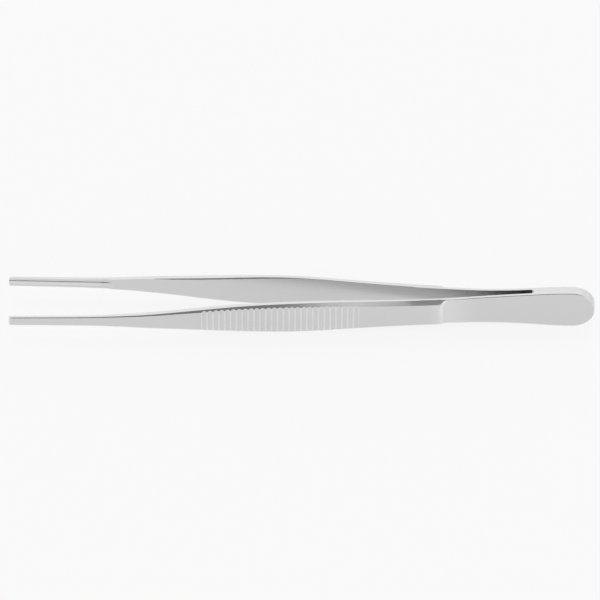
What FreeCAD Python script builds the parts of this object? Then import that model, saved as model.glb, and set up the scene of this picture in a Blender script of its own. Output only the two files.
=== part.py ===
"""Thumb forceps, lying on its narrow edges: two spring arms welded face to face at the heel.

Frame: +X runs from the tips to the heel, +Y across the arms, +Z up, millimetres.
The far arm is built on the +Y side and the near arm is its mirror image about Y = 0.
The surface that the forceps lies on is Z = 0.
"""

import FreeCAD, Part
import math
import os

import Sketcher

V = FreeCAD.Vector

SIZES = {
    # Places along the arm, measured from the end of the heel.
    "overall_length": 180.0,
    "jaw_root_place": 150.0,
    "shoulder_place": 139.0,
    "neck_place": 128.0,
    "grip_front_place": 114.0,
    "crown_place": 92.0,
    "grip_rear_place": 70.0,
    "waist_place": 48.5,
    "spring_place": 32.0,
    "slot_end_place": 19.0,
    "heel_round_length": 6.9,
    # Gap between the arms' inner faces when nothing presses them.
    "tip_gap": 19.7,
    "jaw_root_gap": 18.7,
    "shoulder_gap": 18.1,
    "neck_gap": 16.1,
    "grip_front_gap": 13.9,
    "crown_gap": 12.2,
    "grip_rear_gap": 8.7,
    "waist_gap": 5.4,
    "spring_gap": 2.6,
    # Width of an arm, from its lower to its upper edge.
    "tip_width": 2.8,
    "jaw_root_width": 3.5,
    "shoulder_width": 4.7,
    "neck_width": 6.3,
    "grip_front_width": 8.5,
    "crown_width": 10.4,
    "grip_rear_width": 9.4,
    "waist_width": 8.6,
    "spring_width": 9.4,
    "slot_end_width": 10.9,
    "heel_width": 12.0,
    # Thickness of an arm.
    "tip_thickness": 1.35,
    "jaw_root_thickness": 1.45,
    "grip_thickness": 2.6,
    "spring_thickness": 1.05,
    "heel_thickness": 4.0,
    # Step from the thick grip down to the thin spring.
    "step_length": 3.4,
    "step_handle": 2.1,
    # Bevels on the outer long edges: how far in across the thickness, how far down the width.
    "tip_bevel_in": 0.22,
    "tip_bevel_down": 0.22,
    "jaw_root_bevel_in": 0.25,
    "jaw_root_bevel_down": 0.25,
    "neck_bevel_in": 0.48,
    "neck_bevel_down": 0.48,
    "grip_front_bevel_in": 0.75,
    "grip_front_bevel_down": 0.75,
    "crown_bevel_in": 1.2,
    "crown_bevel_down": 0.9,
    "waist_bevel_in": 1.8,
    "waist_bevel_down": 0.75,
    # Jaw: a toothed ridge along the middle of its inner face, with a shoulder on each side.
    "ridge_width": 0.9,
    "ridge_height": 0.27,
    "ridge_runout": 2.5,
    "ridge_lift": 0.35,
    "tip_round": 1.1,
    "tip_corner": 0.5,
    "slot_corner": 0.45,
    "tooth_count": 46,
    "tooth_pitch": 0.6,
    "tooth_depth": 0.12,
    "tooth_start": 0.9,
    # Finger flutes across the outer face of the grip.
    "flute_count": 27,
    "flute_pitch": 1.8,
    "flute_depth": 0.3,
    "flute_radius": 1.15,
    "flute_first_place": 119.9,
}

STATIONS = ["tip", "jaw_root", "shoulder", "neck", "grip_front", "crown", "grip_rear", "waist", "spring"]
BEVELLED = ["tip", "jaw_root", "neck", "grip_front", "crown", "waist"]
# Cross sections that a bevel and a ridge side are drawn through.
SECTIONS = 25
JAW_SECTIONS = 6
# How far above the metal the ridge sides run out, as a share of the ridge's height.
RUNOUT_SHARE = 0.3
# How far a cutter reaches past the metal, in millimetres.
OVERCUT = 1.0
# Half the width of a tooth's notch at its mouth above the ridge, as a share of the pitch.
MOUTH_SHARE = 0.9
# Refinements when a height on a curve is looked up.
LOOKUPS = 8


def make_sheet(doc):
    """Writes every driving size into the sheet, under its own alias."""
    sheet = doc.addObject("Spreadsheet::Sheet", "sizes")
    for row, (alias, value) in enumerate(SIZES.items(), start=1):
        sheet.set(f"A{row}", alias)
        sheet.set(f"B{row}", str(value))
        sheet.setAlias(f"B{row}", alias)
    doc.recompute()
    return sheet


def place(sheet, station):
    """X of a named station. The heel's end is at half the overall length."""
    half_length = sheet.overall_length / 2
    if station == "tip":
        return -half_length
    return half_length - getattr(sheet, f"{station}_place")


def half_width(sheet, station):
    """Half the arm's width at a named station."""
    return getattr(sheet, f"{station}_width") / 2


def thickness(sheet, x):
    """Thickness of the jaw and the grip at x, eased from the jaw's root to the grip's front."""
    tip, root, front = (place(sheet, s) for s in ("tip", "jaw_root", "grip_front"))
    if x < root:
        u = (x - tip) / (root - tip)
        return sheet.tip_thickness + (sheet.jaw_root_thickness - sheet.tip_thickness) * max(u, 0.0)
    u = min((x - root) / (front - root), 1.0)
    ease = u * u * (3 - 2 * u)
    return sheet.jaw_root_thickness + (sheet.grip_thickness - sheet.jaw_root_thickness) * ease


def evenly(first, last, count):
    """Places from first to last, both included, all the same distance apart."""
    return [first + (last - first) * n / (count - 1) for n in range(count)]


def spline(points, first=None, last=None):
    """A smooth curve through the points, with the end directions where they are given."""
    curve = Part.BSplineCurve()
    if first is None:
        curve.interpolate(Points=points)
    else:
        curve.interpolate(Points=points, InitialTangent=first, FinalTangent=last)
    return curve


def parameter_at(curve, x):
    """Parameter of a gently sloping curve at x."""
    parameter = curve.FirstParameter
    for _ in range(LOOKUPS):
        parameter = curve.parameter(V(x, curve.value(parameter).y, 0))
    return parameter


def height_at(curve, x):
    """Second coordinate of a gently sloping curve at x."""
    return curve.value(parameter_at(curve, x)).y


def slope_at(curve, x):
    """Unit direction of the curve at x, towards +X."""
    direction = curve.tangent(parameter_at(curve, x))[0]
    return direction if direction.x > 0 else -direction


def polygon(corners):
    """Straight lines that join the corners into a closed outline."""
    return [Part.LineSegment(a, b) for a, b in zip(corners, corners[1:] + corners[:1])]


class Plan:
    """The far arm's outline from above."""

    def __init__(self, sheet):
        self.sheet = sheet
        self.tip_x, self.end_x = place(sheet, "tip"), sheet.overall_length / 2
        self.slot_x = place(sheet, "slot_end")
        self.heel_y = sheet.heel_thickness / 2
        self.slot_y = self.heel_y - sheet.spring_thickness
        self.inner = self.inner_curve()
        self.outer = self.outer_curve()
        self.spring = self.spring_curve()

    def inner_curve(self):
        """Inner face, from the tip to the end of the slot between the springs."""
        points = []
        for station in STATIONS:
            gap = getattr(self.sheet, f"{station}_gap")
            points.append(V(place(self.sheet, station), gap / 2, 0))
        points.append(V(self.slot_x - self.sheet.slot_corner, self.slot_y, 0))
        first = (points[1] - points[0]).normalize()
        return spline(points, first, V(1, 0, 0))

    def outer_y(self, x):
        """Where the outer face of the jaw and the grip lies at x."""
        return height_at(self.inner, x) + thickness(self.sheet, x)

    def outer_curve(self):
        """Outer face of the jaw and the grip, up to the step."""
        places = evenly(self.tip_x + self.sheet.tip_round, place(self.sheet, "waist"), SECTIONS)
        return spline([V(x, self.outer_y(x), 0) for x in places])

    def spring_curve(self):
        """Outer face of the thin spring, from the foot of the step to the heel."""
        foot = place(self.sheet, "waist") + self.sheet.step_length
        points = []
        for x in (foot, place(self.sheet, "spring")):
            points.append(V(x, height_at(self.inner, x) + self.sheet.spring_thickness, 0))
        points.append(V(self.slot_x, self.heel_y, 0))
        return spline(points, slope_at(self.inner, foot), V(1, 0, 0))

    def step_curve(self):
        """S-shaped step from the grip's face down to the spring's."""
        top = self.outer.EndPoint
        foot = self.spring.StartPoint
        handle = self.sheet.step_handle
        curve = Part.BezierCurve()
        curve.setPoles([
            top,
            top + slope_at(self.outer, top.x) * handle,
            foot - slope_at(self.spring, foot.x) * handle,
            foot,
        ])
        return curve.toBSpline()

    def nose(self):
        """Tip of the jaw: square on the inner side and round on the outer side."""
        outer_tip, radius = self.outer.StartPoint, self.sheet.tip_round
        nose = V(self.tip_x, outer_tip.y - radius, 0)
        bend = math.sqrt(0.5) * radius
        middle = V(outer_tip.x - bend, nose.y + bend, 0)
        return [Part.LineSegment(self.inner.StartPoint, nose), Part.Arc(nose, middle, outer_tip)]

    def heel(self):
        """Outer side, end and seam of the heel, and the rounded end of the slot."""
        corner = self.sheet.slot_corner
        turn = corner * (1 - math.sqrt(0.5))
        wall = V(self.slot_x, self.slot_y - corner, 0)
        wall_middle = V(self.slot_x - turn, self.slot_y - turn, 0)
        corners = [
            self.spring.EndPoint,
            V(self.end_x, self.heel_y, 0),
            V(self.end_x, 0, 0),
            V(self.slot_x, 0, 0),
            wall,
        ]
        lines = [Part.LineSegment(a, b) for a, b in zip(corners, corners[1:])]
        return lines + [Part.Arc(wall, wall_middle, self.inner.EndPoint)]

    def edges(self):
        """Every edge of the closed outline."""
        return [self.inner, self.outer, self.step_curve(), self.spring] + self.nose() + self.heel()


def width_curve(sheet):
    """Upper edge of the arm seen from the side, from the tip to the start of the round heel."""
    points = [V(place(sheet, "tip") + sheet.tip_corner, half_width(sheet, "tip"), 0)]
    points += [V(place(sheet, s), half_width(sheet, s), 0) for s in STATIONS[1:] + ["slot_end"]]
    points.append(V(sheet.overall_length / 2 - sheet.heel_round_length, half_width(sheet, "heel"), 0))
    return spline(points, (points[1] - points[0]).normalize(), V(1, 0, 0))


def side_outline(sheet):
    """Closed outline of the arm seen from the side: both long edges, the round heel and the tip."""
    upper = width_curve(sheet)
    lower = upper.copy()
    lower.mirror(V(0, 0, 0), V(1, 0, 0))
    start, end = upper.StartPoint, upper.EndPoint
    corner = sheet.tip_corner
    turn = corner * (1 - math.sqrt(0.5))
    nose_x = start.x - corner
    heel = Part.Ellipse(V(end.x + sheet.heel_round_length, 0, 0), V(end.x, end.y, 0), V(end.x, 0, 0))
    edges = [upper, lower, Part.ArcOfEllipse(heel, -math.pi / 2, math.pi / 2)]
    for sign in (1, -1):
        nose = V(nose_x, sign * (start.y - corner), 0)
        middle = V(nose_x + turn, sign * (start.y - turn), 0)
        edges.append(Part.Arc(nose, middle, V(start.x, sign * start.y, 0)))
    edges.append(Part.LineSegment(V(nose_x, start.y - corner, 0), V(nose_x, corner - start.y, 0)))
    return edges


def frame_around(sheet):
    """Rectangle outside the side outline: what lies between the two is cut away."""
    x = sheet.overall_length / 2 + OVERCUT
    z = sheet.heel_width / 2 + OVERCUT
    return polygon([V(-x, -z, 0), V(x, -z, 0), V(x, z, 0), V(-x, z, 0)])


def new_sketch(body, name, plane, edges, offset=0.0):
    """A sketch on one of the body's own origin planes, moved along its normal by offset."""
    sketch = body.newObject("Sketcher::SketchObject", name)
    origin_plane = next(f for f in body.Origin.OriginFeatures if f.Role == plane)
    sketch.AttachmentSupport = [(origin_plane, "")]
    sketch.MapMode = "FlatFace"
    sketch.AttachmentOffset = FreeCAD.Placement(V(0, 0, offset), FreeCAD.Rotation())
    sketch.addGeometry(edges, False)
    return sketch


def recompute_cut(body, name, before):
    """Recomputes the body, and checks that its newest cut takes metal off."""
    body.Document.recompute()
    if body.Shape.Volume >= before:
        raise ValueError(f"{name} cuts nothing")


def cut_through(body, name, sketch):
    """Cuts the sketch right through the body, both ways."""
    before = body.Shape.Volume
    pocket = body.newObject("PartDesign::Pocket", name)
    pocket.Profile = sketch
    pocket.Type = "ThroughAll"
    pocket.Midplane = True
    recompute_cut(body, name, before)


def cut_loft(body, name, sketches, ruled=False):
    """Cuts away what lies between the sketches, straight from one to the next where ruled."""
    before = body.Shape.Volume
    loft = body.newObject("PartDesign::SubtractiveLoft", name)
    loft.Profile = sketches[0]
    loft.Sections = sketches[1:]
    loft.Ruled = ruled
    recompute_cut(body, name, before)


def bevel_curves(sheet):
    """The bevel's reach in across the thickness and down the width, along the arm."""
    reach_in, reach_down = [], []
    for station in BEVELLED:
        x = place(sheet, station)
        reach_in.append(V(x, getattr(sheet, f"{station}_bevel_in"), 0))
        reach_down.append(V(x, getattr(sheet, f"{station}_bevel_down"), 0))
    return spline(reach_in), spline(reach_down)


def bevel_section(plan, upper, sizes, x, sign):
    """Triangle that takes the bevel off one outer long edge, in the plane across the arm."""
    reach_in, reach_down = (height_at(curve, x) for curve in sizes)
    y, z = plan.outer_y(x), height_at(upper, x)
    along = V(reach_in, -reach_down, 0).normalize() * OVERCUT
    top = V(y - reach_in, z, 0) - along
    bottom = V(y, z - reach_down, 0) + along
    outside = V(bottom.x + OVERCUT, top.y + OVERCUT, 0)
    return polygon([V(p.x, sign * p.y, 0) for p in (top, bottom, outside)])


def cut_bevels(body, sheet, plan):
    """Bevels that widen along the grip's outer edges and end where they meet the step."""
    upper, sizes = width_curve(sheet), bevel_curves(sheet)
    past_step = place(sheet, "waist") + sheet.step_length + OVERCUT
    places = evenly(plan.tip_x - OVERCUT, past_step, SECTIONS)
    for label, sign in (("upper", 1), ("lower", -1)):
        sketches = []
        for number, x in enumerate(places, start=1):
            edges = bevel_section(plan, upper, sizes, x, sign)
            sketches.append(new_sketch(body, f"{label}_bevel_section_{number}", "YZ_Plane", edges, x))
        cut_loft(body, f"{label}_bevel", sketches)


def ridge_side_section(plan, upper, x, depth, foot, sign):
    """What is cut away beside the ridge, in the plane across the arm: a slope and a shoulder."""
    y, z = height_at(plan.inner, x), height_at(upper, x)
    shoulder, outside = y + depth, y - OVERCUT
    corners = [
        V(shoulder, foot + depth, 0),
        V(outside, foot - OVERCUT, 0),
        V(outside, z + OVERCUT, 0),
        V(shoulder, z + OVERCUT, 0),
    ]
    return polygon([V(p.x, sign * p.y, 0) for p in corners])


def cut_ridge_sides(body, sheet, plan):
    """Leaves the ridge along the jaw's inner face. The cuts run out just past the jaw's root."""
    upper, root = width_curve(sheet), place(sheet, "jaw_root")
    foot, depth = sheet.ridge_width / 2, sheet.ridge_height
    cuts = [(x, depth, foot) for x in evenly(plan.tip_x - OVERCUT, root, JAW_SECTIONS)]
    cuts.append((root + sheet.ridge_runout, -depth * RUNOUT_SHARE, foot + sheet.ridge_lift))
    for label, sign in (("upper", 1), ("lower", -1)):
        sketches = []
        for number, (x, reach, start) in enumerate(cuts, start=1):
            edges = ridge_side_section(plan, upper, x, reach, start, sign)
            sketches.append(new_sketch(body, f"{label}_ridge_side_{number}", "YZ_Plane", edges, x))
        cut_loft(body, f"{label}_ridge_side", sketches, ruled=True)


def cutters(doc, name, edges):
    """Outlines on the plan, drawn up and down through the whole width of the arm."""
    sketch = doc.addObject("Sketcher::SketchObject", f"{name}_outlines")
    sketch.addGeometry(edges, False)
    prisms = doc.addObject("Part::Extrusion", name)
    prisms.Base = sketch
    prisms.DirMode = "Normal"
    prisms.Solid = True
    prisms.Symmetric = True
    prisms.setExpression("LengthFwd", "2 * <<sizes>>.heel_width")
    return sketch, prisms


def cut(doc, name, base, tool):
    """Cuts the tool from the base, and checks that it takes metal off."""
    result = doc.addObject("Part::Cut", name)
    result.Base, result.Tool = base, tool
    doc.recompute()
    if result.Shape.Volume >= base.Shape.Volume:
        raise ValueError(f"{name} cuts nothing")
    return result


def flute_circles(sheet, plan):
    """Round flute bottoms, evenly spaced along the outer face of the grip."""
    circles, outer = [], plan.outer
    first = sheet.overall_length / 2 - sheet.flute_first_place
    start = outer.length(outer.FirstParameter, parameter_at(outer, first))
    for number in range(int(sheet.flute_count)):
        along = start + number * sheet.flute_pitch
        if along > outer.length():
            break
        parameter = outer.parameterAtDistance(along, outer.FirstParameter)
        point, direction = outer.value(parameter), outer.tangent(parameter)[0]
        outward = V(-direction.y, direction.x, 0)
        centre = point + outward * (sheet.flute_radius - sheet.flute_depth)
        circles.append(Part.Circle(centre, V(0, 0, 1), sheet.flute_radius))
    return circles


def bind_radii(sketch, count, alias):
    """One radius, read from the sheet, that every circle of the sketch shares."""
    first = sketch.addConstraint(Sketcher.Constraint("Radius", 0, sketch.Geometry[0].Radius))
    sketch.renameConstraint(first, alias)
    sketch.setExpression(f"Constraints.{alias}", f"<<sizes>>.{alias}")
    for other in range(1, count):
        sketch.addConstraint(Sketcher.Constraint("Equal", 0, other))


def tooth_notches(sheet, plan):
    """V-shaped notches that leave the fine cross teeth on the jaw's ridge."""
    notches = []
    reach, depth = sheet.tooth_pitch * MOUTH_SHARE, sheet.tooth_depth
    for number in range(int(sheet.tooth_count)):
        x = plan.tip_x + sheet.tooth_start + number * sheet.tooth_pitch
        y = height_at(plan.inner, x)
        notches += polygon([V(x - reach, y - depth, 0), V(x, y + depth, 0), V(x + reach, y - depth, 0)])
    return notches


def rest_tilt(sheet):
    """Angle that lowers the tips until the grip's lower edge touches the surface with the heel's."""
    upper = width_curve(sheet)
    heel_x = upper.EndPoint.x
    samples = [place(sheet, "grip_front") + n for n in range(int(sheet.grip_front_place - sheet.waist_place))]
    rises = [(upper.EndPoint.y - height_at(upper, x)) / (heel_x - x) for x in samples]
    return math.atan(min(rises))


def build_arm(doc, sheet, name):
    """The far arm: its blank, then the cuts that repeat along it."""
    body = doc.addObject("PartDesign::Body", f"{name}_blank")
    plan = Plan(sheet)
    pad = body.newObject("PartDesign::Pad", "blank")
    pad.Profile = new_sketch(body, "plan_outline", "XY_Plane", plan.edges())
    pad.Midplane = True
    pad.setExpression("Length", "<<sizes>>.heel_width")
    doc.recompute()
    outline = side_outline(sheet) + frame_around(sheet)
    cut_through(body, "width", new_sketch(body, "side_outline", "XZ_Plane", outline))
    cut_bevels(body, sheet, plan)
    cut_ridge_sides(body, sheet, plan)
    circles = flute_circles(sheet, plan)
    sketch, flutes = cutters(doc, "flutes", circles)
    bind_radii(sketch, len(circles), "flute_radius")
    _, notches = cutters(doc, "tooth_notches", tooth_notches(sheet, plan))
    fluted = cut(doc, "fluted_arm", body, flutes)
    arm = cut(doc, name, fluted, notches)
    arm.Label = name
    return arm


def mirror_arm(doc, name, arm):
    """The same arm on the other side of Y = 0."""
    mirrored = doc.addObject("Part::Mirroring", name)
    mirrored.Source = arm
    mirrored.Normal = V(0, 1, 0)
    mirrored.Label = name
    doc.recompute()
    return mirrored


def lay_down(sheet, arm):
    """Lays the arm on Z = 0, touching it with the heel and the grip, centred along X."""
    turn = FreeCAD.Rotation(V(0, 1, 0), -math.degrees(rest_tilt(sheet)))
    arm.Placement = FreeCAD.Placement(V(0, 0, 0), turn)
    box = arm.Shape.optimalBoundingBox(True, False)
    arm.Placement = FreeCAD.Placement(V(-(box.XMin + box.XMax) / 2, 0, -box.ZMin), turn)


def check(doc, arms):
    """Stops on any object that failed to compute and on any solid that isn't sound."""
    for item in doc.Objects:
        if {"Invalid", "Error"} & set(item.State):
            raise ValueError(f"{item.Name}: {item.State}")
    for arm in arms:
        if arm.Shape.isNull() or not arm.Shape.isValid() or len(arm.Shape.Solids) != 1:
            raise ValueError(f"{arm.Label} is not one sound solid")


def main():
    """Builds both arms and writes each one as its own file."""
    os.makedirs("parts", exist_ok=True)
    doc = FreeCAD.newDocument("thumb_forceps")
    sheet = make_sheet(doc)
    far_arm = build_arm(doc, sheet, "far_arm")
    lay_down(sheet, far_arm)
    near_arm = mirror_arm(doc, "near_arm", far_arm)
    arms = [near_arm, far_arm]
    check(doc, arms)
    for arm in arms:
        arm.Shape.exportStep(f"parts/{arm.Label}.step")
        box = arm.Shape.BoundBox
        print(f"{arm.Label}: {arm.Shape.Volume:.1f} mm3, {len(arm.Shape.Faces)} faces, box {box}")
    print(f"rest tilt {math.degrees(rest_tilt(sheet)):.3f} degrees")


main()
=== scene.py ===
"""Looks of the thumb forceps: satin steel in a plain white studio.

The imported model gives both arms. This script dresses them, lights them and sets the camera.
Lengths are metres in the part's own frame: +X from the tips to the heel, +Y across, +Z up.
"""

import logging
import math
from dataclasses import dataclass
from enum import Enum
from typing import Any, Optional, Union

import bpy
from mathutils import Matrix, Vector

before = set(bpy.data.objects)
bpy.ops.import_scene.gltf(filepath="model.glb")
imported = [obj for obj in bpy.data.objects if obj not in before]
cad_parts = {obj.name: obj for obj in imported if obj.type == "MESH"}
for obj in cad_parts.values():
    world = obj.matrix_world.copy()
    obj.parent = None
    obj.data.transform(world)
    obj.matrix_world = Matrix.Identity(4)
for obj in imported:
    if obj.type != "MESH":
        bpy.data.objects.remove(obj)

LOG = logging.getLogger("thumb_forceps")
Number = Union[float, int]
Colour = tuple[float, float, float, float]
Range = tuple[float, float]
Stops = tuple[tuple[float, float], ...]
# Degrees from the horizon in front to the one behind, where a ramp of the room ends.
HALF_TURN = 180.0
# Middle of a noise and of a mix's share, which both run from 0 to 1.
MIDDLE = 0.5
# Where a Mix node that mixes colours has its sockets.
MIX_SHARE, MIX_FIRST, MIX_SECOND, MIX_RESULT = 0, 6, 7, 2


def opaque(grey: float) -> Colour:
    """A grey as an opaque colour."""
    return (grey, grey, grey, 1.0)


def along(stops: Stops, place: float) -> float:
    """Reads a value off the line through some stops, level beyond its ends.

    Args:
        stops: Place and value of each stop, in order.
        place: Where to read.

    Returns:
        The value there.
    """
    before, value = stops[0]
    for after, target in stops[1:]:
        if place < after:
            return value + (target - value) * max(0.0, (place - before) / (after - before))
        before, value = after, target
    return value


class Kind(Enum):
    """Where a node tree ends: the output node that its shader feeds."""

    MATERIAL = "ShaderNodeOutputMaterial"
    WORLD = "ShaderNodeOutputWorld"


class Socket:
    """A node's socket, with arithmetic that adds Math nodes."""

    def __init__(self, graph: "Graph", link: bpy.types.NodeSocket) -> None:
        """Keeps the socket and the graph that new nodes go into."""
        self.graph = graph
        self.link = link

    def math(self, operation: str, *values: Union["Socket", Number]) -> "Socket":
        """Result of a Math node on values or sockets, in the node's own order."""
        return self.graph.add("ShaderNodeMath", {"operation": operation}, dict(enumerate(values)))

    def __add__(self, other: Union["Socket", Number]) -> "Socket":
        """Sum."""
        return self.math("ADD", self, other)

    def __radd__(self, other: Number) -> "Socket":
        """Sum, with the number first."""
        return self.math("ADD", other, self)

    def __sub__(self, other: Union["Socket", Number]) -> "Socket":
        """Difference."""
        return self.math("SUBTRACT", self, other)

    def __rsub__(self, other: Number) -> "Socket":
        """Difference, with the number first."""
        return self.math("SUBTRACT", other, self)

    def __mul__(self, other: Union["Socket", Number]) -> "Socket":
        """Product."""
        return self.math("MULTIPLY", self, other)

    def __rmul__(self, other: Number) -> "Socket":
        """Product, with the number first."""
        return self.math("MULTIPLY", other, self)

    def __abs__(self) -> "Socket":
        """Absolute value."""
        return self.math("ABSOLUTE", self)

    def larger(self, other: "Socket") -> "Socket":
        """The larger of two values."""
        return self.math("MAXIMUM", self, other)

    def part(self, axis: str) -> "Socket":
        """One axis of a vector."""
        return self.graph.add("ShaderNodeSeparateXYZ", inputs={"Vector": self}, output=axis)

    def step(self, low: float, high: float) -> "Socket":
        """Rises smoothly from 0 at low to 1 at high.

        Args:
            low: Value at which the result is 0.
            high: Value at which the result is 1.

        Returns:
            The eased result.
        """
        settings = {"interpolation_type": "SMOOTHSTEP"}
        inputs = {"Value": self, "From Min": low, "From Max": high}
        return self.graph.add("ShaderNodeMapRange", settings, inputs)


class Graph:
    """A node tree that is written as expressions."""

    def __init__(self, tree: bpy.types.NodeTree) -> None:
        """Starts the tree empty."""
        self.tree = tree
        tree.nodes.clear()

    def add(
        self,
        node_type: str,
        settings: Optional[dict[str, Any]] = None,
        inputs: Optional[dict[Any, Any]] = None,
        output: Union[str, int] = 0,
    ) -> Socket:
        """Adds one node, sets it up and connects it.

        Args:
            node_type: Blender's name of the node type.
            settings: The node's own properties, which are set first.
            inputs: Values or sockets for its inputs, by name or number.
            output: The output to return, by name or number.

        Returns:
            That output, or the first input of a node that ends the tree.
        """
        node = self.tree.nodes.new(node_type)
        for name, value in (settings or {}).items():
            if name == "stops":
                self.set_stops(node.color_ramp, value)
            else:
                setattr(node, name, value)
        for key, value in (inputs or {}).items():
            if isinstance(value, Socket):
                self.tree.links.new(value.link, node.inputs[key])
            else:
                node.inputs[key].default_value = value
        return Socket(self, (node.outputs or node.inputs)[output])

    @staticmethod
    def set_stops(ramp: bpy.types.ColorRamp, stops: Stops) -> None:
        """Gives a ramp its greys.

        Args:
            ramp: The ramp.
            stops: Place and grey of each stop, in order, both from 0 to 1.
        """
        while len(ramp.elements) < len(stops):
            ramp.elements.new(1.0)
        for element, (place, grey) in zip(ramp.elements, stops):
            element.position = place
            element.color = opaque(grey)

    def finish(self, kind: Kind, shader: Socket) -> None:
        """Feeds the shader to the tree's output node."""
        self.add(kind.value, inputs={"Surface": shader})

    def mix_colours(
        self, share: Socket, first: Union[Socket, Colour], second: Union[Socket, Colour]
    ) -> Socket:
        """Mixes two linear colours, from the first at a share of 0 to the second at 1."""
        inputs = {MIX_SHARE: share, MIX_FIRST: first, MIX_SECOND: second}
        return self.add("ShaderNodeMix", {"data_type": "RGBA"}, inputs, output=MIX_RESULT)

    def mix_shaders(self, share: Socket, first: Socket, second: Socket) -> Socket:
        """Mixes two shaders, from the first at a share of 0 to the second at 1."""
        return self.add("ShaderNodeMixShader", inputs={0: share, 1: first, 2: second})

    def rounded(self, radius: float, samples: int = 8) -> Socket:
        """Normal of the surface with its edges rounded to a radius."""
        return self.add("ShaderNodeBevel", {"samples": samples}, {"Radius": radius})


@dataclass(frozen=True)
class CrestWearAndSheen:
    """Lighter base colour on the upright edges and steep flanks of the flutes and the step: edge
    wear and a painted highlight on the crests, a painted highlight on the flanks.
    """

    radius: float = 1.3e-4
    turn: Range = (0.001, 0.03)
    flank_slope: Range = (0.55, 0.68)
    # Strength of the painted highlight on the flanks.
    flank_highlight_share: float = 0.25
    least: float = 0.7
    spread: float = 1.4

    def build(self, graph: Graph, flat: Socket, clouds: Socket) -> Socket:
        """Finds the crests and the flanks.

        Args:
            graph: Tree that the nodes go into.
            flat: The surface's own normal.
            clouds: Noise that makes the wear and painted highlight stronger on some crests than
                others.

        Returns:
            About 1 on a crest (edge wear and painted highlight), less on a flank (painted
            highlight) and 0 elsewhere.
        """
        settings = {"operation": "DOT_PRODUCT"}
        normals = {0: graph.rounded(self.radius), 1: flat}
        likeness = graph.add("ShaderNodeVectorMath", settings, normals, output="Value")
        # Crests found by the rounded normal: partly edge wear, partly a painted highlight.
        crest = (1 - likeness).step(*self.turn)
        # Painted highlight on steep flanks that turn along the arm.
        flank_highlight = abs(flat.part("X")).step(*self.flank_slope) * self.flank_highlight_share
        return crest.larger(flank_highlight) * (self.least + clouds * self.spread)


@dataclass(frozen=True)
class StepHighlight:
    """Painted highlight on the outer face at the step: a broad lighter zone and a bright line on
    the crest.
    """

    zone_place: float = 0.0445
    zone_ahead: float = 0.0065
    zone_behind: float = 0.011
    zone_share: float = 0.22
    line_place: float = 0.0429
    line_fall: Range = (0.0, 1.0e-3)
    line_bend: Range = (7.3e-3, 1.0e-2)
    line_reach: float = 1.0e-3
    line_rise: Range = (2.0e-3, 8.0e-3)
    line_least: float = 0.16
    line_spread: float = 0.28
    outer_side: Range = (0.0, 1.0e-3)

    def build(self, graph: Graph, flat: Socket) -> Socket:
        """Finds the zone and the line of the painted highlight.

        Args:
            graph: Tree that the nodes go into.
            flat: The surface's own normal.

        Returns:
            Most on the line, falling to 0 ahead of the zone and behind it.
        """
        place = graph.add("ShaderNodeTexCoord", output="Object")
        lengthwise, height = place.part("X"), place.part("Z")
        ahead = lengthwise.step(self.zone_place - self.zone_ahead, self.zone_place)
        behind = 1 - lengthwise.step(self.zone_place, self.zone_place + self.zone_behind)
        bend = height.step(*self.line_bend) * self.line_reach
        line = 1 - abs(lengthwise - self.line_place - bend).step(*self.line_fall)
        strength = self.line_least + height.step(*self.line_rise) * self.line_spread
        outer = (flat.part("Y") * place.part("Y")).step(*self.outer_side)
        # Painted highlight: lighter base colour in a zone round the step and in a bright line on
        # its crest, on the outer face only.
        return (ahead * behind * self.zone_share + line * strength) * outer


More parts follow.
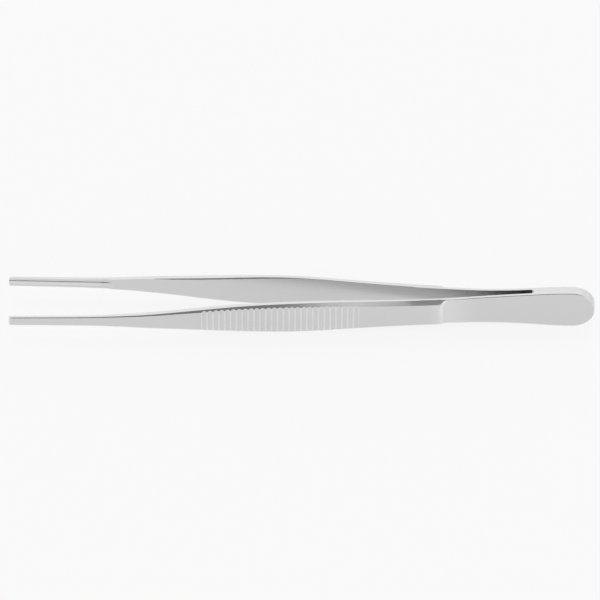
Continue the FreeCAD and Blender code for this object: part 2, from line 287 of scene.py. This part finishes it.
@dataclass(frozen=True)
class SatinSteel:
    """Stainless steel with a fine matt blast finish over faint lengthwise grinding lines, and a
    lighter base colour on crests, flanks and the step that is partly edge wear and partly painted
    highlight.
    """

    grey: float = 0.658
    grey_variation: float = 0.012
    # Base colour of the worn crests and of the painted highlight on crests, flanks and the step.
    polish_and_highlight_grey: float = 0.98
    upright_slope: Range = (0.1, 0.35)
    roughness: float = 0.24
    roughness_spread: float = 0.05
    grain_scale: float = 6500.0
    grain_detail: float = 3.0
    grain_height: float = 9.0e-7
    cloud_scale: float = 420.0
    line_scale: float = 5200.0
    line_stretch: float = 0.03
    line_wear: float = 0.6
    line_height: float = 0.5
    edge_radius: float = 5.0e-5
    crest_wear_and_sheen: CrestWearAndSheen = CrestWearAndSheen()
    step_highlight: StepHighlight = StepHighlight()

    @staticmethod
    def texture(
        graph: Graph, scale: float, stretch: float = 1.0, detail: float = 2.0
    ) -> Socket:
        """Noise in the part's own frame.

        Args:
            graph: Tree that the nodes go into.
            scale: Noise cells per metre.
            stretch: Share of the scale along the forceps.
            detail: Octaves of the noise.

        Returns:
            Noise from 0 to 1.
        """
        place = graph.add("ShaderNodeTexCoord", output="Object")
        if stretch != 1.0:
            stretched = {0: place, 1: (stretch, 1.0, 1.0)}
            place = graph.add("ShaderNodeVectorMath", {"operation": "MULTIPLY"}, stretched)
        inputs = {"Vector": place, "Scale": scale, "Detail": detail}
        return graph.add("ShaderNodeTexNoise", inputs=inputs)

    def polish_and_highlight(self, graph: Graph, clouds: Socket) -> Socket:
        """How far the upright faces get a lighter base colour: edge wear on the crests, painted
        highlight on the crests, flanks and step.

        Args:
            graph: Tree that the nodes go into.
            clouds: Noise that makes the wear and painted highlight stronger on some crests than
                others.

        Returns:
            About 1 where the lighter colour of wear and painted highlight is full and 0 where the
            steel is plain satin.
        """
        flat = graph.add("ShaderNodeNewGeometry", output="Normal")
        crests = self.crest_wear_and_sheen.build(graph, flat, clouds)
        upright = 1 - abs(flat.part("Z")).step(*self.upright_slope)
        return crests.larger(self.step_highlight.build(graph, flat)) * upright

    def build(self, name: str) -> bpy.types.Material:
        """Makes the material.

        Args:
            name: Name of the material.

        Returns:
            The material.
        """
        material = bpy.data.materials.new(name)
        material.use_nodes = True
        graph = Graph(material.node_tree)
        clouds = self.texture(graph, self.cloud_scale)
        lines = self.texture(graph, self.line_scale, self.line_stretch)
        grain = self.texture(graph, self.grain_scale, detail=self.grain_detail)
        worn = (clouds - MIDDLE) + (lines - MIDDLE) * self.line_wear
        darker = opaque(self.grey - self.grey_variation)
        lighter = opaque(self.grey + self.grey_variation)
        satin = graph.mix_colours(MIDDLE + worn, darker, lighter)
        polish_and_highlight = self.polish_and_highlight(graph, clouds)
        relief = {
            "Height": grain + lines * self.line_height,
            "Distance": self.grain_height,
            "Normal": graph.rounded(self.edge_radius),
        }
        inputs = {
            # Base colour: satin steel, lightened on crests, flanks and the step by edge wear and a
            # painted highlight.
            "Base Color": graph.mix_colours(polish_and_highlight, satin, opaque(self.polish_and_highlight_grey)),
            "Metallic": 1.0,
            "Roughness": self.roughness + worn * self.roughness_spread,
            "Normal": graph.add("ShaderNodeBump", inputs=relief),
        }
        graph.finish(Kind.MATERIAL, graph.add("ShaderNodeBsdfPrincipled", inputs=inputs))
        return material


@dataclass(frozen=True)
class FloorPaint:
    """Matt white of the studio's floor, which cameras and mirrors see as nearly plain white."""

    white: float = 0.95
    own_light: float = 0.82

    def build(self, name: str) -> bpy.types.Material:
        """Makes the material.

        Args:
            name: Name of the material.

        Returns:
            The material.
        """
        material = bpy.data.materials.new(name)
        material.use_nodes = True
        graph = Graph(material.node_tree)
        matt = graph.add("ShaderNodeBsdfDiffuse", inputs={"Color": opaque(self.white)})
        white = graph.add("ShaderNodeEmission", inputs={"Strength": 1.0})
        seen = graph.add("ShaderNodeLightPath", output="Is Camera Ray")
        for ray in ("Is Glossy Ray", "Is Transmission Ray"):
            seen = seen.larger(graph.add("ShaderNodeLightPath", output=ray))
        graph.finish(Kind.MATERIAL, graph.mix_shaders(seen * self.own_light, matt, white))
        return material


@dataclass
class Arm:
    """One arm of the forceps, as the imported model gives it.

    Each stop of outer_break and inner_break gives a place along the arm and the width of an
    edge's break there, as a share of break_width.
    """

    node: str
    sharp_angle: float = math.radians(24)
    square_angle: float = math.radians(62)
    flat_angle: float = math.radians(0.1)
    break_width: float = 3.6e-4
    outer_break: Stops = (
        (-0.056, 0.85), (-0.046, 0.3), (-0.04, 0.0), (0.0475, 0.0), (0.051, 0.45),
    )
    inner_break: Stops = (
        (-0.046, 0.0), (-0.034, 0.9), (-0.014, 1.0), (0.0, 0.35), (0.03, 0.3), (0.037, 0.0),
    )
    inner_slope: float = 0.5
    plain_from: float = 0.0475
    shortest: float = 4.0e-4
    along_share: float = 0.9
    seam: float = 1.0e-4
    weld: float = 2.0e-6

    def place(self, mesh: bpy.types.Mesh, ends: tuple[int, int]) -> tuple:
        """Place of an edge, the same for every copy of it.

        Args:
            mesh: The arm's mesh.
            ends: Numbers of the edge's two points.

        Returns:
            Where both points lie, in steps of the weld distance and in a fixed order.
        """
        corners = (mesh.vertices[end].co for end in ends)
        steps = (tuple(round(value / self.weld) for value in corner) for corner in corners)
        return tuple(sorted(steps))

    def is_long(self, first: Vector, second: Vector) -> bool:
        """Says whether an edge is one of the blank's own, and not a flute's or a tooth's.

        Args:
            first: One end of the edge.
            second: Its other end.

        Returns:
            True for an edge along the arm, and for any edge of the plain spring and heel.
        """
        length, reach = (second - first).length, abs(second.x - first.x)
        lengthwise = length > self.shortest and reach > self.along_share * length
        on_spring = min(first.x, second.x) > self.plain_from
        at_seam = max(abs(first.y), abs(second.y)) < self.seam
        return (lengthwise or on_spring) and not at_seam

    def share(self, middle: Vector, normals: list[Vector]) -> float:
        """Width of an edge's break.

        Args:
            middle: Middle of the edge.
            normals: Normals of the two faces that meet there.

        Returns:
            The width, as a share of the widest break.
        """
        inward = -min(normal.y * middle.y for normal in normals)
        inner = inward > self.inner_slope * abs(middle.y)
        return along(self.inner_break if inner else self.outer_break, middle.x)

    def mark_square_edges(self, mesh: bpy.types.Mesh) -> int:
        """Gives the long square edges a bevel weight, which sets the width of their break.

        Args:
            mesh: The arm's mesh. Its points stay where they are.

        Returns:
            How many edges it marked.
        """
        normals: dict[tuple, list[Vector]] = {}
        for face in mesh.polygons:
            for ends in face.edge_keys:
                normals.setdefault(self.place(mesh, ends), []).append(face.normal)
        weights = []
        for edge in mesh.edges:
            first, second = (mesh.vertices[end].co for end in edge.vertices)
            pair = normals[self.place(mesh, edge.vertices)]
            square = len(pair) == 2 and pair[0].angle(pair[1], 0.0) > self.square_angle
            broken = square and self.is_long(first, second)
            weights.append(self.share((first + second) / 2, pair) if broken else 0.0)
        marks = mesh.attributes.new("bevel_weight_edge", "FLOAT", "EDGE")
        marks.data.foreach_set("value", weights)
        return sum(weight > 0 for weight in weights)

    def smooth(self, arm: bpy.types.Object) -> None:
        """Breaks the marked edges, shades curved faces smooth and keeps the ground edges crisp.

        Args:
            arm: The arm's object. Its own mesh keeps its points.
        """
        arm.data.polygons.foreach_set("use_smooth", [True] * len(arm.data.polygons))
        joined = arm.modifiers.new("join_faces", "WELD")
        joined.merge_threshold = self.weld
        merged = arm.modifiers.new("plain_faces", "DECIMATE")
        merged.decimate_type = "DISSOLVE"
        merged.angle_limit = self.flat_angle
        broken = arm.modifiers.new("broken_edges", "BEVEL")
        broken.limit_method = "WEIGHT"
        broken.width = self.break_width
        broken.segments = 1
        broken.use_clamp_overlap = False
        broken.loop_slide = False
        crisp = arm.modifiers.new("crisp_edges", "EDGE_SPLIT")
        crisp.split_angle = self.sharp_angle
        arm.modifiers.new("even_normals", "WEIGHTED_NORMAL")

    def dress(self, steel: bpy.types.Material) -> bpy.types.Object:
        """Gives the arm its finish.

        Args:
            steel: The finish.

        Returns:
            The arm's object.
        """
        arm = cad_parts[self.node]
        arm.data.materials.clear()
        arm.data.materials.append(steel)
        LOG.info("%s: %d edges broken", self.node, self.mark_square_edges(arm.data))
        self.smooth(arm)
        return arm


@dataclass
class Studio:
    """Plain white floor under a soft, bright room, which the steel mirrors.

    The room has dark bands overhead and a dark ring round its sides. Each stop gives an angle in
    degrees and a level: overhead, from the horizon in front, over the top, to the one behind; at
    the sides, up from the horizon.
    """

    floor_size: float = 6.0
    floor_drop: float = 2.0e-5
    overhead_level: float = 1.16
    side_level: float = 1.25
    middle_half_width: float = 0.3
    soft_width: float = 0.16
    overhead: Stops = (
        (0, 1.0), (38, 1.0), (43, 0.18), (72, 0.18), (80, 0.66),
        (85, 0.84), (90, 0.84), (100, 0.2), (115, 0.2), (122, 1.0),
    )
    around: Stops = (
        (0, 0.84), (24, 0.84), (34, 1.0), (41, 0.32), (54, 0.32), (62, 1.0), (90, 1.0),
    )
    backdrop: float = 0.955

    def build_floor(self, paint: bpy.types.Material) -> bpy.types.Object:
        """Lays the floor under the forceps.

        Args:
            paint: The floor's material.

        Returns:
            The floor's object.
        """
        half, z = self.floor_size / 2, -self.floor_drop
        corners = [(-half, -half, z), (half, -half, z), (half, half, z), (-half, half, z)]
        mesh = bpy.data.meshes.new("studio_floor")
        mesh.from_pydata(corners, [], [(0, 1, 2, 3)])
        mesh.materials.append(paint)
        floor = bpy.data.objects.new("studio_floor", mesh)
        bpy.context.scene.collection.objects.link(floor)
        return floor

    @staticmethod
    def bands(graph: Graph, angle: Socket, stops: Stops) -> Socket:
        """Level of the room at an angle in radians, from stops in degrees."""
        places = tuple((degrees / HALF_TURN, level) for degrees, level in stops)
        return graph.add("ShaderNodeValToRGB", {"stops": places}, {"Fac": angle * (1 / math.pi)})

    def build_world(self) -> bpy.types.World:
        """Lights the room from all round, with the dark bands that the bevels mirror.

        Returns:
            The world.
        """
        world = bpy.data.worlds.new("studio")
        world.use_nodes = True
        graph = Graph(world.node_tree)
        direction = graph.add("ShaderNodeTexCoord", output="Generated")
        up = direction.part("Z")
        over = up.math("ARCTAN2", up, -1 * direction.part("Y"))
        overhead = self.bands(graph, over, self.overhead) * self.overhead_level
        sides = self.bands(graph, up.math("ARCSINE", up), self.around) * self.side_level
        aside = abs(direction.part("X"))
        edge = self.middle_half_width
        middle = 1 - aside.step(edge, edge + self.soft_width)
        light = {"Color": opaque(1.0), "Strength": sides + middle * (overhead - sides)}
        plain_white = {"Color": opaque(1.0), "Strength": self.backdrop}
        seen = graph.add("ShaderNodeLightPath", output="Is Camera Ray")
        room = graph.add("ShaderNodeBackground", inputs=light)
        white = graph.add("ShaderNodeBackground", inputs=plain_white)
        graph.finish(Kind.WORLD, graph.mix_shaders(seen, room, white))
        bpy.context.scene.world = world
        return world


@dataclass
class PhotoCamera:
    """The photograph's view: square on, from 35 degrees above the floor, from far away."""

    elevation: float = math.radians(35)
    roll: float = math.radians(1.0)
    picture_width: float = 0.18435
    centre_height: float = 5.4e-3
    right_of_centre: float = 0.553e-3
    below_centre: float = 0.983e-3
    distance: float = 0.9

    def build(self) -> bpy.types.Object:
        """Makes the camera and sets it as the scene's own.

        Returns:
            The camera.
        """
        data = bpy.data.cameras.new("photo_camera")
        data.type = "ORTHO"
        data.ortho_scale = self.picture_width
        camera = bpy.data.objects.new("photo_camera", data)
        bpy.context.scene.collection.objects.link(camera)
        tilt = Matrix.Rotation(math.pi / 2 - self.elevation, 4, "X")
        turn = tilt @ Matrix.Rotation(self.roll, 4, "Z")
        offset = Vector((-self.right_of_centre, self.below_centre, self.distance))
        target = Matrix.Translation((0.0, 0.0, self.centre_height))
        camera.matrix_world = target @ turn @ Matrix.Translation(offset)
        bpy.context.scene.camera = camera
        return camera


def main() -> None:
    """Dresses both arms, builds the studio and sets the camera."""
    logging.basicConfig(level=logging.INFO, format="%(name)s: %(message)s")
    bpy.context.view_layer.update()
    steel = SatinSteel().build("satin_steel")
    for arm in (Arm("near_arm"), Arm("far_arm")):
        piece = arm.dress(steel)
        LOG.info("%s: %d faces", piece.name, len(piece.data.polygons))
    studio = Studio()
    floor = studio.build_floor(FloorPaint().build("studio_white"))
    LOG.info("%s: %.1f m across", floor.name, studio.floor_size)
    LOG.info("world: %s", studio.build_world().name)
    LOG.info("camera: %s", PhotoCamera().build().name)
    bpy.context.scene.view_settings.view_transform = "Standard"


if __name__ == "__main__":
    main()
